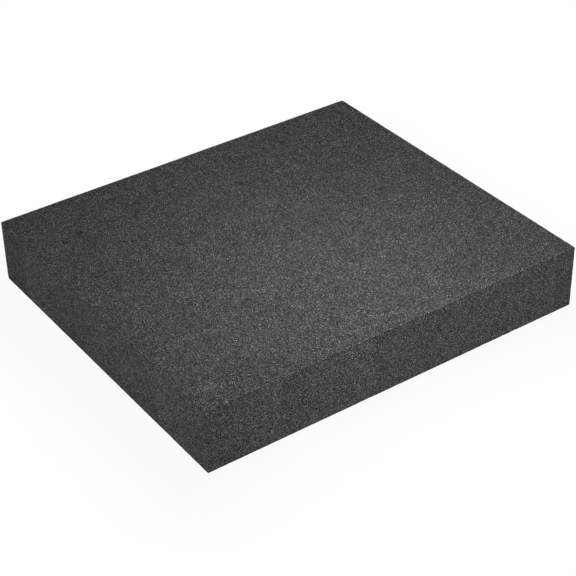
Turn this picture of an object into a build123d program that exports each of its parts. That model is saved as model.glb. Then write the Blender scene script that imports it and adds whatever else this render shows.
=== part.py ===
from build123d import *
import os

# A foam insert: one slab of charcoal foam, cut flat on all six sides, which drops into a
# case or a drawer and carries what is laid on it. Millimetres, +Z up. The origin is at
# the middle of the underside, the length runs along X and the width along Y.

# Sizes of the cut slab
length = 317.5
width = 279.4
thickness = 50.8

# A knife cut through open cells leaves every edge slightly round
edge_round = 0.8

# Foam slab
with BuildPart() as foam_slab:
    with BuildSketch(Plane.XY):
        Rectangle(length, width)
    extrude(amount=thickness)
    fillet(foam_slab.edges(), radius=edge_round)

foam_slab.part.label = "foam_slab"

os.makedirs("parts", exist_ok=True)
export_step(foam_slab.part, "parts/foam_slab.step")
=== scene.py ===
import itertools
import math

import bpy
import numpy as np
from mathutils import Matrix, Vector


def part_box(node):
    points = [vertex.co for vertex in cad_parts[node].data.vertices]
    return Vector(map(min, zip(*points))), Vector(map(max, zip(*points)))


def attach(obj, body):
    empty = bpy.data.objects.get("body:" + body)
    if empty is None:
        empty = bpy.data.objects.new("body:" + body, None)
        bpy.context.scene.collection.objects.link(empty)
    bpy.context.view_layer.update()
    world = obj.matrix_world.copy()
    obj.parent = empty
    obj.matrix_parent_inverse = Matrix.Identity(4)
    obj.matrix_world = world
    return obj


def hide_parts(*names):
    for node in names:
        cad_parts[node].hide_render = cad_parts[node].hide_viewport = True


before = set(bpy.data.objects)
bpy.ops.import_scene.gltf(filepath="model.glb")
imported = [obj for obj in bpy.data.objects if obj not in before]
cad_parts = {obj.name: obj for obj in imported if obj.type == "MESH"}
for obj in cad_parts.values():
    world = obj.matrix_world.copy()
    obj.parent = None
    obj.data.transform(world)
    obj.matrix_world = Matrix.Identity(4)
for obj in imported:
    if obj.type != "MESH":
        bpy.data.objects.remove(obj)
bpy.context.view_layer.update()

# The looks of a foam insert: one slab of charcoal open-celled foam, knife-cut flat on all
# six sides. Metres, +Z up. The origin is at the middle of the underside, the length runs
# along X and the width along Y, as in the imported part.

# The slab's box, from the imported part
low, high = (np.array(corner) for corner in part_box("foam_slab"))
length, width, thickness = high - low

# Skin
edge_round = 0.0008
round_steps = 3
skin_step = 0.00175
sheet_gap = 0.003

# Unevenness of the cut, all of it inwards. Streaks and tears show where a random drift from
# 0 to 1 is over 1 less their share.
wave_depth = 0.00018
wave_pitch = 0.045
wave_seed = 11
knife_depth = 0.00012
stroke_lengths = (0.05, 0.18)
ridge_width = 0.006
streak_pitch = 0.0035
streak_share = 0.2
streak_seed = 14
lump_seed = 15
tear_depth = 0.0002
tear_pitch = 0.0032
tear_share = 0.38
tear_seed = 13
edge_reach = 0.0022

# One seed for each side's strokes, by the axis that the side faces along and its sign. They
# were chosen by searches through many seeds, scored by how near the strokes come to the
# light and dark along the photograph's left and front sides. The right and back sides
# aren't in the photograph, and have seeds from the same searches. With other seeds the slab
# is cut as truly but matches the photograph less.
stroke_seeds = {(0, -1): 671432, (0, 1): 521194, (1, -1): 2244184, (1, 1): 955522}

# Foam. Shades, lifts and the contrasts of blotches and strokes are shares of the charcoal's
# own tone, and the cells' contrasts are powers of e. The contrasts were tuned until the
# grain of each face was about as strong as in the photograph.
charcoal = 0.068
foam_roughness = 0.95
foam_gloss = 0.05

# Cells. A wall slopes from its crest to the hollow's floor over these shares of the cell
# width. Over the span of a cell's luck its hollow goes from deep to shallow, in shares of
# the relief. The cells' tone is painted light: painted shade in the hollows and the deep
# cells, and painted glints on the shallow ones.
cell_width = 0.00043
wall_slope = (0.02, 0.24)
luck_span = (-1.0, 1.0)
deep_hollow = 1.4
shallow_hollow = 0.4
cell_relief = 0.0003
relief_strength = 0.45
face_cell_contrast = 1.85
side_cell_contrast = 1.75
painted_hollow_shade = 1.2

# Blotches
blotch_width = 0.03
blotch_roughness = 0.6
blotch_contrast = 0.12

# Waves of noise in the width of a bubble or an arc that it makes uneven
noise_waves = 1.5

# Bubbles: painted shade in the pits that the cut opened. The shade fades over the rim, in
# shares of the width with the noise added.
bubble_spacing = 0.024
bubble_width = 0.0075
bubble_rim = (0.6, 1.1)
face_bubble_shade = 0.35
side_bubble_shade = 0.12

# Scuffs. An arc fades out over its flanks and its ends, in shares of its width and length,
# and it is broken where its noise is under the breaks.
scuff_spacing = 0.08
scuff_scatter = 0.6
scuff_length = 0.05
scuff_width = 0.006
scuff_flanks = (0.1, 0.5)
scuff_ends = (0.25, 0.5)
scuff_breaks = (0.3, 0.55)
scuff_noise_detail = 1.0
scuff_bend = 6.0
scuff_lift = 0.28

# Edges: a painted highlight along the top's and underside's edges, and painted shade on the
# sides next to them and in the torn cells. The painted light rises between these values of
# the nearness to an edge.
fray_light_rise = (0.4, 0.9)
face_fray_highlight = 0.55
side_fray_shade = -0.3
tear_shade = 0.25

# Knife marks
stroke_contrast = 0.36
stroke_middle = 0.45
streak_lift = 0.2

# Camera, found by fitting the slab's corners to the photograph
camera_azimuth = -34.62
camera_elevation = 34.66
camera_roll = 1.14
camera_distance = 1.18925
camera_aim = (-0.01617, -0.02836, 0.0254)
camera_lens = 102.73

# Light: a key over the slab, towards its front edge, and softer lamps from three sides.
# Their places and watts were fitted to the tones of the photograph's three faces.
lamps = {
    "key_lamp": {"place": (0.008, -0.09, 0.30), "aim": (0.008, -0.09, 0.0), "size": 0.15, "watts": 0.56},
    "front_lamp": {"place": (0.04, -0.52, 0.27), "aim": (0.0, 0.0, 0.05), "size": 0.4, "watts": 0.93},
    "left_lamp": {"place": (-0.80, -0.15, 0.30), "aim": (-0.1, -0.05, 0.05), "size": 0.4, "watts": 1.60},
    "back_lamp": {"place": (0.50, 0.35, 0.60), "aim": (0.05, 0.05, 0.05), "size": 0.3, "watts": 1.45},
}
horizon_strength = 2.2
horizon_falloff = 8.0

# Floor
floor_reach = 6.0
floor_white = 0.8
shadow_reach = 0.12
shadow_white = 0.94


def graded_line(start, end):
    """Places along one axis of the slab. The inner box's two planes are edge_round in from
    the ends. Outside them a place is the edge round times the tangent of equal angles up to
    45 degrees, so that each row takes an equal share of the round. Between them the steps
    are even."""
    inner_start, inner_end = start + edge_round, end - edge_round
    rise = edge_round * np.tan(np.radians(np.linspace(45, 0, round_steps + 1)))
    steps = round((inner_end - inner_start) / skin_step)
    even = np.linspace(inner_start, inner_end, steps + 1)[1:-1]
    return np.concatenate([inner_start - rise, even, inner_end + rise[::-1]])


def box_skin(lines):
    """The outer points of the lattice that the three lines of places span, and the quads
    that join them. Each of the six sides is a grid of two parameters, the places along its
    two axes, and neighbouring sides share the points of their common edge. A quad's ring of
    corners is reversed where it would face inwards. Returns the points, the quads, and for
    each quad the axis and the end that its side faces."""
    outer = np.zeros([len(line) for line in lines], bool)
    for axis in range(3):
        for end in (0, -1):
            np.moveaxis(outer, axis, 0)[end] = True
    number = np.full(outer.shape, -1)
    number[outer] = np.arange(np.count_nonzero(outer))
    points = np.stack([line[index] for line, index in zip(lines, np.nonzero(outer))], axis=1)
    quads, sides = [], []
    for axis in range(3):
        for end in (0, -1):
            grid = np.moveaxis(number, axis, 0)[end]
            ring = [grid[:-1, :-1], grid[1:, :-1], grid[1:, 1:], grid[:-1, 1:]]
            if (end == 0) != (axis == 1):
                ring.reverse()
            side_quads = np.stack(ring, axis=-1).reshape(-1, 4)
            quads.append(side_quads)
            sides.append(np.tile((axis, end), (len(side_quads), 1)))
    return points, np.concatenate(quads), np.concatenate(sides)


def rounded(points):
    """Gives a sharp box its round edges. A point's nearest place in the inner box is its
    core. The rounded point is the core plus the edge round along the unit vector from the
    core to the sharp point. Returns the rounded points and those unit vectors."""
    core = np.clip(points, low + edge_round, high - edge_round)
    outward = points - core
    outward /= np.linalg.norm(outward, axis=1, keepdims=True)
    return core + edge_round * outward, outward


def drift(points, pitch, seed):
    """A smooth random value from 0 to 1 at each point. Seeded random numbers stand on a
    lattice of the given pitch, one number for each crossing, and each point blends the
    eight numbers round it by smooth steps."""
    place = np.maximum(points - low, 0) / pitch
    cell = np.floor(place).astype(int)
    blend = place - cell
    blend = blend**2 * (3 - 2 * blend)
    numbers = np.random.default_rng(seed).random(cell.max(axis=0) + 2)
    value = np.zeros(len(points))
    for corner in itertools.product((0, 1), repeat=3):
        share = np.where(corner, blend, 1 - blend).prod(axis=1)
        value += share * numbers[tuple((cell + corner).T)]
    return value


def over(values, threshold):
    """How far values are over a threshold, as a share of the way from it to 1."""
    return np.clip((values - threshold) / (1 - threshold), 0, 1)


def edge_nearness(points):
    """Two values that are 1 on an edge of the sharp box and fall evenly to 0 at edge_reach
    from it: the first on every edge, and the second on the level edges alone. A point's
    distance from the nearest edge is the second least of its depths under the three pairs of
    faces, and from a level edge it is the depth under the top or the underside, or under
    the nearest side where that is more."""
    depth = np.minimum(points - low, high - points)
    any_edge = np.sort(depth, axis=1)[:, 1]
    level_edge = np.maximum(depth[:, :2].min(axis=1), depth[:, 2])
    return np.clip(1 - np.array((any_edge, level_edge)) / edge_reach, 0, 1)


def knife_strokes(along, seed):
    """The strokes of the knife along one side, each of a random length. The first value
    rises by a smooth step through a stroke, between two random heights, and jumps to the
    next stroke's lower height where that one starts. The second is 1 at a stroke's end and
    falls to 0 at ridge_width before it."""
    draws = np.random.default_rng(seed)
    count = math.ceil(max(length, width) / stroke_lengths[0])
    lengths = draws.uniform(*stroke_lengths, count)
    lower, upper = np.sort(draws.random((2, count)), axis=0)
    ends = np.cumsum(lengths)
    number = np.searchsorted(ends, along)
    left_over = ends[number] - along
    share = 1 - left_over / lengths[number]
    step = share**2 * (3 - 2 * share)
    rise = lower[number] + (upper - lower)[number] * step
    return rise, np.clip(1 - left_over / ridge_width, 0, 1)


def cut_marks(points, outward):
    """What the cut left on the skin, each a value from 0 to 1 at each point. Strokes run
    along the sides, each side with its own, and a corner blends two sides by the squares of
    the outward direction. Streaks are narrow lines where a fine drift over the plan is over
    its threshold, and the lumpy ridges where a stroke ends. Cells are torn out near the
    edges where a fine drift is over its threshold."""
    near, near_level = edge_nearness(points)
    stroke, ridge = np.zeros((2, len(points)))
    for (axis, sign), seed in stroke_seeds.items():
        facing = np.clip(sign * outward[:, axis], 0, 1) ** 2
        along = points[:, 1 - axis] - low[1 - axis]
        rise, end = knife_strokes(along, seed)
        stroke += facing * rise
        ridge += facing * end
    plan = np.where((True, True, False), points, low)
    fine = over(drift(plan, streak_pitch, streak_seed), 1 - streak_share)
    lumps = drift(points, streak_pitch, lump_seed)
    torn = over(drift(points, tear_pitch, tear_seed), 1 - tear_share)
    return {
        "edge": near_level,
        "torn": near * torn,
        "stroke": stroke,
        "streak": np.maximum(fine, ridge * lumps),
    }


def cut_depth(points, outward, marks):
    """How far the cut lies inside the true box. Slow waves go over every face but the
    underside, which stays flat: they grow from nothing there to the full over one pitch. The
    sides add the knife's strokes, and the edges the torn cells."""
    grown = np.clip((points[:, 2] - low[2]) / wave_pitch, 0, 1)
    waves = grown * wave_depth * drift(points, wave_pitch, wave_seed)
    upright = 1 - outward[:, 2] ** 2
    return waves + upright * knife_depth * marks["stroke"] + tear_depth * marks["torn"]


def skin_sheet(points, quads, sides):
    """Flat places of the quads' corners on one square sheet, from 0 to 1. Each side lies flat
    on the sheet at its true scale, apart from the underside at half scale. The top fills the
    lower left, the two long sides stand at its right, and the two short sides lie above it,
    beside the underside."""
    beside = length + sheet_gap
    between = length / 2 + sheet_gap
    layout = {
        (2, -1): ((0, 1), 1.0, (0, 0)),
        (2, 0): ((0, 1), 0.5, (0, width + sheet_gap)),
        (1, 0): ((2, 0), 1.0, (beside, 0)),
        (1, -1): ((2, 0), 1.0, (beside + thickness + sheet_gap, 0)),
        (0, 0): ((1, 2), 1.0, (between, beside)),
        (0, -1): ((1, 2), 1.0, (between, beside + thickness + sheet_gap)),
    }
    sheet = sheet_gap + between + width + sheet_gap
    place = np.empty((len(quads), 4, 2))
    for (axis, end), (across, scale, start) in layout.items():
        mine = (sides == (axis, end)).all(axis=1)
        flat = (points - low)[quads[mine]][..., list(across)]
        place[mine] = flat * scale + start
    return (place + sheet_gap) / sheet


def foam_slab_skin():
    """The slab's skin: a rounded box in a close grid, worn inwards by cut_depth. Each value
    of cut_marks goes with it as an attribute for its material. The upright sides take the
    second material."""
    lines = [graded_line(start, end) for start, end in zip(low, high)]
    sharp, quads, sides = box_skin(lines)
    points, outward = rounded(sharp)
    marks = cut_marks(sharp, outward)
    points -= outward * cut_depth(points, outward, marks)[:, None]
    mesh = bpy.data.meshes.new("foam_slab_skin")
    mesh.from_pydata(points.tolist(), [], quads.tolist())
    mesh.shade_smooth()
    sheet = mesh.uv_layers.new(name="OFBake")
    sheet.data.foreach_set("uv", skin_sheet(sharp, quads, sides).astype(np.float32).ravel())
    for name, values in marks.items():
        attribute = mesh.attributes.new(name, "FLOAT", "POINT")
        attribute.data.foreach_set("value", values.astype(np.float32))
    upright = (sides[:, 0] != 2).astype(np.int32)
    mesh.polygons.foreach_set("material_index", upright)
    skin = bpy.data.objects.new("foam_slab_skin", mesh)
    bpy.context.scene.collection.objects.link(skin)
    return skin


def connect(tree, value, socket):
    """Links an input to another node's output, or sets it to a number or a colour."""
    if isinstance(value, bpy.types.NodeSocket):
        tree.links.new(value, socket)
    else:
        socket.default_value = value


def add(tree, kind, inputs=None, **settings):
    """A shader node with its settings. Each input is a number, a colour, or the output of
    another node, to which it is then linked."""
    node = tree.nodes.new(f"ShaderNode{kind}")
    for name, value in settings.items():
        setattr(node, name, value)
    for name, value in (inputs or {}).items():
        connect(tree, value, node.inputs[name])
    return node


def maths(tree, operation, *terms, clamp=False):
    """One step of arithmetic on up to three numbers or outputs."""
    node = add(tree, "Math", dict(enumerate(terms)), operation=operation, use_clamp=clamp)
    return node.outputs[0]


def ramp(tree, value, start, end, low_value=0.0, high_value=1.0):
    """A smooth step: low_value where the value is under start, high_value over end."""
    inputs = {"Value": value, "From Min": start, "From Max": end}
    inputs.update({"To Min": low_value, "To Max": high_value})
    node = add(tree, "MapRange", inputs, interpolation_type="SMOOTHSTEP")
    return node.outputs["Result"]


def new_group(name, inputs, outputs):
    """An empty node group. Inputs are labels with their values, where three numbers are a
    place and one is a number, and outputs are labels of numbers. Returns the group, its
    inner inputs and its inner outputs."""
    group = bpy.data.node_groups.new(name, "ShaderNodeTree")
    for label, value in inputs.items():
        kind = "NodeSocketVector" if isinstance(value, tuple) else "NodeSocketFloat"
        socket = group.interface.new_socket(label, in_out="INPUT", socket_type=kind)
        socket.default_value = value
    for label in outputs:
        group.interface.new_socket(label, in_out="OUTPUT", socket_type="NodeSocketFloat")
    given = group.nodes.new("NodeGroupInput").outputs
    result = group.nodes.new("NodeGroupOutput").inputs
    return group, given, result


def per(tree, size, count=1.0):
    """The scale at which a pattern repeats the given count of times in the given size."""
    return maths(tree, "DIVIDE", count, size)


def open_cells():
    """Foam cells, sliced by the surface. Cells are the regions nearest to random seeds, so
    the distance to a region's border is least on the walls between cells. A cell's luck is
    the sum of its seed's three random numbers, less 1.5, which is that sum's mean: a bright
    cell is shallow and a dark one is deep. The tone is painted light, with painted shade in
    the deep cells and in each hollow, and painted glints on the bright shallow cells. The
    tone is e to the sum of three terms. The first is the luck times the cell contrast. The
    second is 0.5 less the hollow, times the painted hollow shade, so the walls are lighter
    than the hollows. The third is minus an eighth of the cell contrast squared, which keeps
    the mean near 1."""
    inputs = {"Place": (0, 0, 0), "Cell Width": 0.001, "Cell Contrast": 1.0, "Painted Hollow Shade": 0.5}
    group, given, result = new_group("open_cells", inputs, ["Tone", "Height"])
    at = {"Vector": given["Place"], "Scale": per(group, given["Cell Width"])}
    border = add(group, "TexVoronoi", at, feature="DISTANCE_TO_EDGE").outputs["Distance"]
    numbers = add(group, "TexVoronoi", at, feature="F1").outputs["Color"]
    total = add(group, "VectorMath", {0: numbers, 1: (1, 1, 1)}, operation="DOT_PRODUCT")
    luck = maths(group, "SUBTRACT", total.outputs["Value"], 1.5)
    hollow = ramp(group, border, *wall_slope)
    # Painted shade: darker in each cell's hollow than on its walls
    from_middle = maths(group, "SUBTRACT", 0.5, hollow)
    shade = maths(group, "MULTIPLY", from_middle, given["Painted Hollow Shade"])
    # The luck's tone: painted shade in the deep cells, painted glints on the shallow ones
    power = maths(group, "MULTIPLY_ADD", luck, given["Cell Contrast"], shade)
    spread = maths(group, "MULTIPLY", given["Cell Contrast"], given["Cell Contrast"])
    power = maths(group, "MULTIPLY_ADD", spread, -1 / 8, power)
    group.links.new(maths(group, "EXPONENT", power), result["Tone"])
    floor_depth = ramp(group, luck, *luck_span, deep_hollow, shallow_hollow)
    depth = maths(group, "MULTIPLY", hollow, floor_depth)
    group.links.new(maths(group, "SUBTRACT", 1.0, depth), result["Height"])
    return group


def blotches():
    """Slow changes of tone where the foam is denser or looser: soft noise, centred on 1."""
    inputs = {"Place": (0, 0, 0), "Width": 0.02, "Contrast": 0.1}
    group, given, result = new_group("blotches", inputs, ["Tone"])
    at = {"Vector": given["Place"], "Scale": per(group, given["Width"])}
    noise = add(group, "TexNoise", {**at, "Roughness": blotch_roughness})
    from_middle = maths(group, "SUBTRACT", noise.outputs["Fac"], 0.5)
    swing = maths(group, "MULTIPLY", from_middle, given["Contrast"])
    group.links.new(maths(group, "MULTIPLY_ADD", swing, 2.0, 1.0), result["Tone"])
    return group


def large_bubbles():
    """A few bubbles much larger than the cells, opened by the cut as pits, with painted shade
    in them. A random seed of a wide spacing is a bubble's middle, and the distance from it is
    unevened by noise of about the bubble's width."""
    inputs = {"Place": (0, 0, 0), "Spacing": 0.02, "Width": 0.003, "Shade": 0.3}
    group, given, result = new_group("large_bubbles", inputs, ["Tone"])
    fine = {"Vector": given["Place"], "Scale": per(group, given["Width"], noise_waves)}
    noise = add(group, "TexNoise", fine).outputs["Fac"]
    wide = {"Vector": given["Place"], "Scale": per(group, given["Spacing"])}
    seeds = add(group, "TexVoronoi", wide, feature="F1")
    away = maths(group, "MULTIPLY", seeds.outputs["Distance"], given["Spacing"])
    away = maths(group, "DIVIDE", away, given["Width"])
    away = maths(group, "ADD", away, noise)
    inside = ramp(group, away, *bubble_rim, 1.0, 0.0)
    # Painted shade in the pit
    shade = maths(group, "MULTIPLY", inside, given["Shade"])
    group.links.new(maths(group, "SUBTRACT", 1.0, shade), result["Tone"])
    return group


def scuffs():
    """Short light arcs where the cut face was rubbed or creased, over the plan alone. Each
    arc has its middle at a random seed and is turned by a random slope from -0.5 to 0.5,
    which is up to 27 degrees. Off its line is how far a place lies from the arc's parabola,
    unevened by noise, and off its end is how far the place lies along it."""
    inputs = {"Place": (0, 0, 0), "Spacing": 0.08, "Length": 0.03, "Width": 0.004}
    inputs.update({"Bend": 5.0, "Lift": 0.1})
    group, given, result = new_group("scuffs", inputs, ["Tone"])
    wide = {"Vector": given["Place"], "Scale": per(group, given["Spacing"])}
    wide["Randomness"] = scuff_scatter
    seeds = add(group, "TexVoronoi", wide, voronoi_dimensions="2D", feature="F1")
    middle = add(group, "SeparateXYZ", {"Vector": seeds.outputs["Position"]}).outputs
    place = add(group, "SeparateXYZ", {"Vector": given["Place"]}).outputs
    from_x = maths(group, "SUBTRACT", place["X"], middle["X"])
    from_y = maths(group, "SUBTRACT", place["Y"], middle["Y"])
    luck = add(group, "SeparateColor", {"Color": seeds.outputs["Color"]}).outputs
    turn = maths(group, "SUBTRACT", luck["Red"], 0.5)
    along = maths(group, "MULTIPLY_ADD", from_y, turn, from_x)
    across = maths(group, "SUBTRACT", from_y, maths(group, "MULTIPLY", from_x, turn))
    fine = {"Vector": given["Place"], "Scale": per(group, given["Width"], noise_waves)}
    noise = add(group, "TexNoise", {**fine, "Detail": scuff_noise_detail}).outputs["Fac"]
    uneven = maths(group, "MULTIPLY", maths(group, "SUBTRACT", noise, 0.5), given["Width"])
    bulge = maths(group, "MULTIPLY", maths(group, "MULTIPLY", along, along), given["Bend"])
    off_line = maths(group, "ADD", maths(group, "ADD", across, bulge), uneven)
    off_line = maths(group, "DIVIDE", maths(group, "ABSOLUTE", off_line), given["Width"])
    off_end = maths(group, "DIVIDE", maths(group, "ABSOLUTE", along), given["Length"])
    line = ramp(group, off_line, *scuff_flanks, 1.0, 0.0)
    line = maths(group, "MULTIPLY", line, ramp(group, off_end, *scuff_ends, 1.0, 0.0))
    broken = maths(group, "MULTIPLY", line, ramp(group, noise, *scuff_breaks))
    group.links.new(maths(group, "MULTIPLY_ADD", broken, given["Lift"], 1.0), result["Tone"])
    return group


def frayed_edge_light():
    """Painted light on the cut edges, where broken cell walls stand up in a row. Where Lift is
    over 0 the row gets a painted highlight, and where it is under 0 it is painted shade of the
    walls on what lies below them. Torn cells are darker, with painted shade."""
    inputs = {"Edge": 0.0, "Torn": 0.0, "Lift": 0.2, "Shade": 0.2}
    group, given, result = new_group("frayed_edge_light", inputs, ["Tone"])
    # The row's painted highlight, or painted shade where Lift is under 0
    row = maths(group, "MULTIPLY", ramp(group, given["Edge"], *fray_light_rise), given["Lift"])
    # Painted shade in the torn cells
    gone = maths(group, "MULTIPLY", given["Torn"], given["Shade"])
    tone = maths(group, "SUBTRACT", maths(group, "ADD", row, 1.0), gone)
    group.links.new(tone, result["Tone"])
    return group


def knife_marks():
    """The sides' tone: lighter where a knife stroke is over stroke_middle, darker where it
    is under, and lighter on the streaks."""
    inputs = {"Stroke": 0.5, "Streak": 0.0, "Contrast": 0.1, "Lift": 0.1}
    group, given, result = new_group("knife_marks", inputs, ["Tone"])
    from_middle = maths(group, "SUBTRACT", given["Stroke"], stroke_middle)
    streak = maths(group, "MULTIPLY_ADD", given["Streak"], given["Lift"], 1.0)
    tone = maths(group, "MULTIPLY_ADD", from_middle, given["Contrast"], streak)
    group.links.new(tone, result["Tone"])
    return group


def use_group(tree, group, inputs, place):
    """A node group in a material's tree, which gets the place on the slab if it takes one.
    An input whose value is text reads the attribute of that name. Returns its outputs."""
    node = add(tree, "Group", node_tree=group)
    if "Place" in node.inputs:
        tree.links.new(place, node.inputs["Place"])
    for label, value in inputs.items():
        if isinstance(value, str):
            value = add(tree, "Attribute", attribute_name=value).outputs["Fac"]
        connect(tree, value, node.inputs[label])
    return node.outputs


def foam_finish(name, cells, cell_contrast, effects):
    """Charcoal foam: the base tone times the cells' tone and the tone of each effect, with
    the cells' relief. Effects are pairs of a node group and its inputs."""
    material = bpy.data.materials.new(name)
    material.use_nodes = True
    tree = material.node_tree
    shader = tree.nodes["Principled BSDF"]
    place = add(tree, "TexCoord").outputs["Object"]
    contrasts = {"Cell Contrast": cell_contrast, "Painted Hollow Shade": painted_hollow_shade}
    cell = use_group(tree, cells, {"Cell Width": cell_width, **contrasts}, place)
    tone = maths(tree, "MULTIPLY", cell["Tone"], charcoal)
    for group, inputs in effects:
        effect = use_group(tree, group, inputs, place)
        tone = maths(tree, "MULTIPLY", tone, effect["Tone"])
    colour = add(tree, "CombineColor", {"Red": tone, "Green": tone, "Blue": tone})
    tree.links.new(colour.outputs["Color"], shader.inputs["Base Color"])
    relief = {"Height": cell["Height"], "Strength": relief_strength, "Distance": cell_relief}
    tree.links.new(add(tree, "Bump", relief).outputs["Normal"], shader.inputs["Normal"])
    shader.inputs["Roughness"].default_value = foam_roughness
    shader.inputs["Specular IOR Level"].default_value = foam_gloss
    return material


def seen_directly(tree):
    """1 for what the camera sees straight, in a reflection or through glass, else 0."""
    path = add(tree, "LightPath").outputs
    seen = maths(tree, "MAXIMUM", path["Is Camera Ray"], path["Is Glossy Ray"])
    return maths(tree, "MAXIMUM", seen, path["Is Transmission Ray"])


def white_away(tree):
    """How much of the floor's look is plain white: shadow_white at the slab, and all of it
    from shadow_reach away. The distance from the slab's plan is the root of the sum of two
    squares, of how far a place lies outside it along X and along Y."""
    place = add(tree, "SeparateXYZ", {"Vector": add(tree, "TexCoord").outputs["Object"]}).outputs
    outside = []
    for axis, half in (("X", length / 2), ("Y", width / 2)):
        past = maths(tree, "SUBTRACT", maths(tree, "ABSOLUTE", place[axis]), half)
        outside.append(maths(tree, "POWER", maths(tree, "MAXIMUM", past, 0.0), 2.0))
    away = maths(tree, "SQRT", maths(tree, "ADD", *outside))
    return ramp(tree, away, 0.0, shadow_reach, shadow_white, 1.0)


def studio_floor():
    """A plain white floor that lights the slab from below and keeps its shadow. The camera
    and reflections see it mostly as plain white."""
    mesh = bpy.data.meshes.new("floor")
    corners = np.array([(-1, -1, 0), (1, -1, 0), (1, 1, 0), (-1, 1, 0)]) * floor_reach
    mesh.from_pydata(corners.tolist(), [], [(0, 1, 2, 3)])
    floor = bpy.data.objects.new("floor", mesh)
    bpy.context.scene.collection.objects.link(floor)
    material = bpy.data.materials.new("studio_floor")
    material.use_nodes = True
    tree = material.node_tree
    shader = tree.nodes["Principled BSDF"]
    shader.inputs["Base Color"].default_value = (floor_white, floor_white, floor_white, 1)
    shader.inputs["Roughness"].default_value = 1.0
    shader.inputs["Specular IOR Level"].default_value = 0.0
    white = add(tree, "Emission", {"Color": (1, 1, 1, 1), "Strength": 1.0})
    seen = maths(tree, "MULTIPLY", seen_directly(tree), white_away(tree))
    mix = add(tree, "MixShader", {"Fac": seen, 1: shader.outputs["BSDF"], 2: white.outputs["Emission"]})
    tree.links.new(mix.outputs["Shader"], tree.nodes["Material Output"].inputs["Surface"])
    mesh.materials.append(material)


def studio_world():
    """Soft light that is strongest at the horizon and as strong below it, as in a light tent.
    Its strength falls above the horizon, as a power of 1 less the height of the direction.
    Seen directly it is white."""
    world = bpy.data.worlds.new("studio_world")
    world.use_nodes = True
    bpy.context.scene.world = world
    tree = world.node_tree
    tent = tree.nodes["Background"]
    direction = add(tree, "TexCoord").outputs["Generated"]
    height = add(tree, "SeparateXYZ", {"Vector": direction}).outputs["Z"]
    low_down = maths(tree, "SUBTRACT", 1.0, height, clamp=True)
    ring = maths(tree, "POWER", low_down, horizon_falloff)
    tree.links.new(maths(tree, "MULTIPLY", ring, horizon_strength), tent.inputs["Strength"])
    tent.inputs["Color"].default_value = (1, 1, 1, 1)
    white = add(tree, "Background", {"Color": (1, 1, 1, 1), "Strength": 1.0})
    mix = add(tree, "MixShader", {"Fac": seen_directly(tree), 1: tent.outputs[0], 2: white.outputs[0]})
    tree.links.new(mix.outputs["Shader"], tree.nodes["World Output"].inputs["Surface"])


def soft_lamp(name, place, aim, size, watts):
    """A round soft lamp of the given size, turned from its place towards its aim."""
    light = bpy.data.lights.new(name, "AREA")
    light.shape = "DISK"
    light.size = size
    light.energy = watts
    lamp = bpy.data.objects.new(name, light)
    turn = (Vector(aim) - Vector(place)).to_track_quat("-Z", "Y")
    lamp.matrix_world = Matrix.LocRotScale(place, turn, None)
    bpy.context.scene.collection.objects.link(lamp)


def photo_camera():
    """The photograph's viewpoint. The camera stands back from its aim along the azimuth and
    elevation, looks at it, and is rolled about that line."""
    azimuth, elevation, roll = map(math.radians, (camera_azimuth, camera_elevation, camera_roll))
    level = math.cos(elevation)
    back = Vector((math.sin(azimuth) * level, -math.cos(azimuth) * level, math.sin(elevation)))
    right = Vector((0, 0, 1)).cross(back).normalized()
    up = back.cross(right)
    rolled_right = right * math.cos(roll) - up * math.sin(roll)
    rolled_up = right * math.sin(roll) + up * math.cos(roll)
    data = bpy.data.cameras.new("photo_camera")
    data.lens = camera_lens
    camera = bpy.data.objects.new("photo_camera", data)
    turn = Matrix((rolled_right, rolled_up, back)).transposed().to_4x4()
    camera.matrix_world = Matrix.Translation(Vector(camera_aim) + back * camera_distance) @ turn
    bpy.context.scene.collection.objects.link(camera)
    bpy.context.scene.camera = camera


cells = open_cells()
bubbles = large_bubbles()
frayed_light = frayed_edge_light()
bubble_sizes = {"Spacing": bubble_spacing, "Width": bubble_width}
fray_light_marks = {"Edge": "edge", "Torn": "torn", "Shade": tear_shade}
scuff_sizes = {"Spacing": scuff_spacing, "Length": scuff_length, "Width": scuff_width}
denser = (blotches(), {"Width": blotch_width, "Contrast": blotch_contrast})
rubbed = (scuffs(), {**scuff_sizes, "Bend": scuff_bend, "Lift": scuff_lift})
knifed = (knife_marks(), {
    "Stroke": "stroke",
    "Streak": "streak",
    "Contrast": stroke_contrast,
    "Lift": streak_lift,
})
foam_face = foam_finish("foam_face", cells, face_cell_contrast, [
    denser,
    (bubbles, {**bubble_sizes, "Shade": face_bubble_shade}),
    # A painted highlight along the level edges
    (frayed_light, {**fray_light_marks, "Lift": face_fray_highlight}),
    rubbed,
])
foam_side = foam_finish("foam_side", cells, side_cell_contrast, [
    denser,
    (bubbles, {**bubble_sizes, "Shade": side_bubble_shade}),
    # Painted shade on the sides along the level edges
    (frayed_light, {**fray_light_marks, "Lift": side_fray_shade}),
    knifed,
])

skin = foam_slab_skin()
skin.data.materials.append(foam_face)
skin.data.materials.append(foam_side)
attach(skin, "root")
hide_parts("foam_slab")

studio_floor()
studio_world()
for name, settings in lamps.items():
    soft_lamp(name, **settings)
photo_camera()
bpy.context.scene.view_settings.view_transform = "Standard"
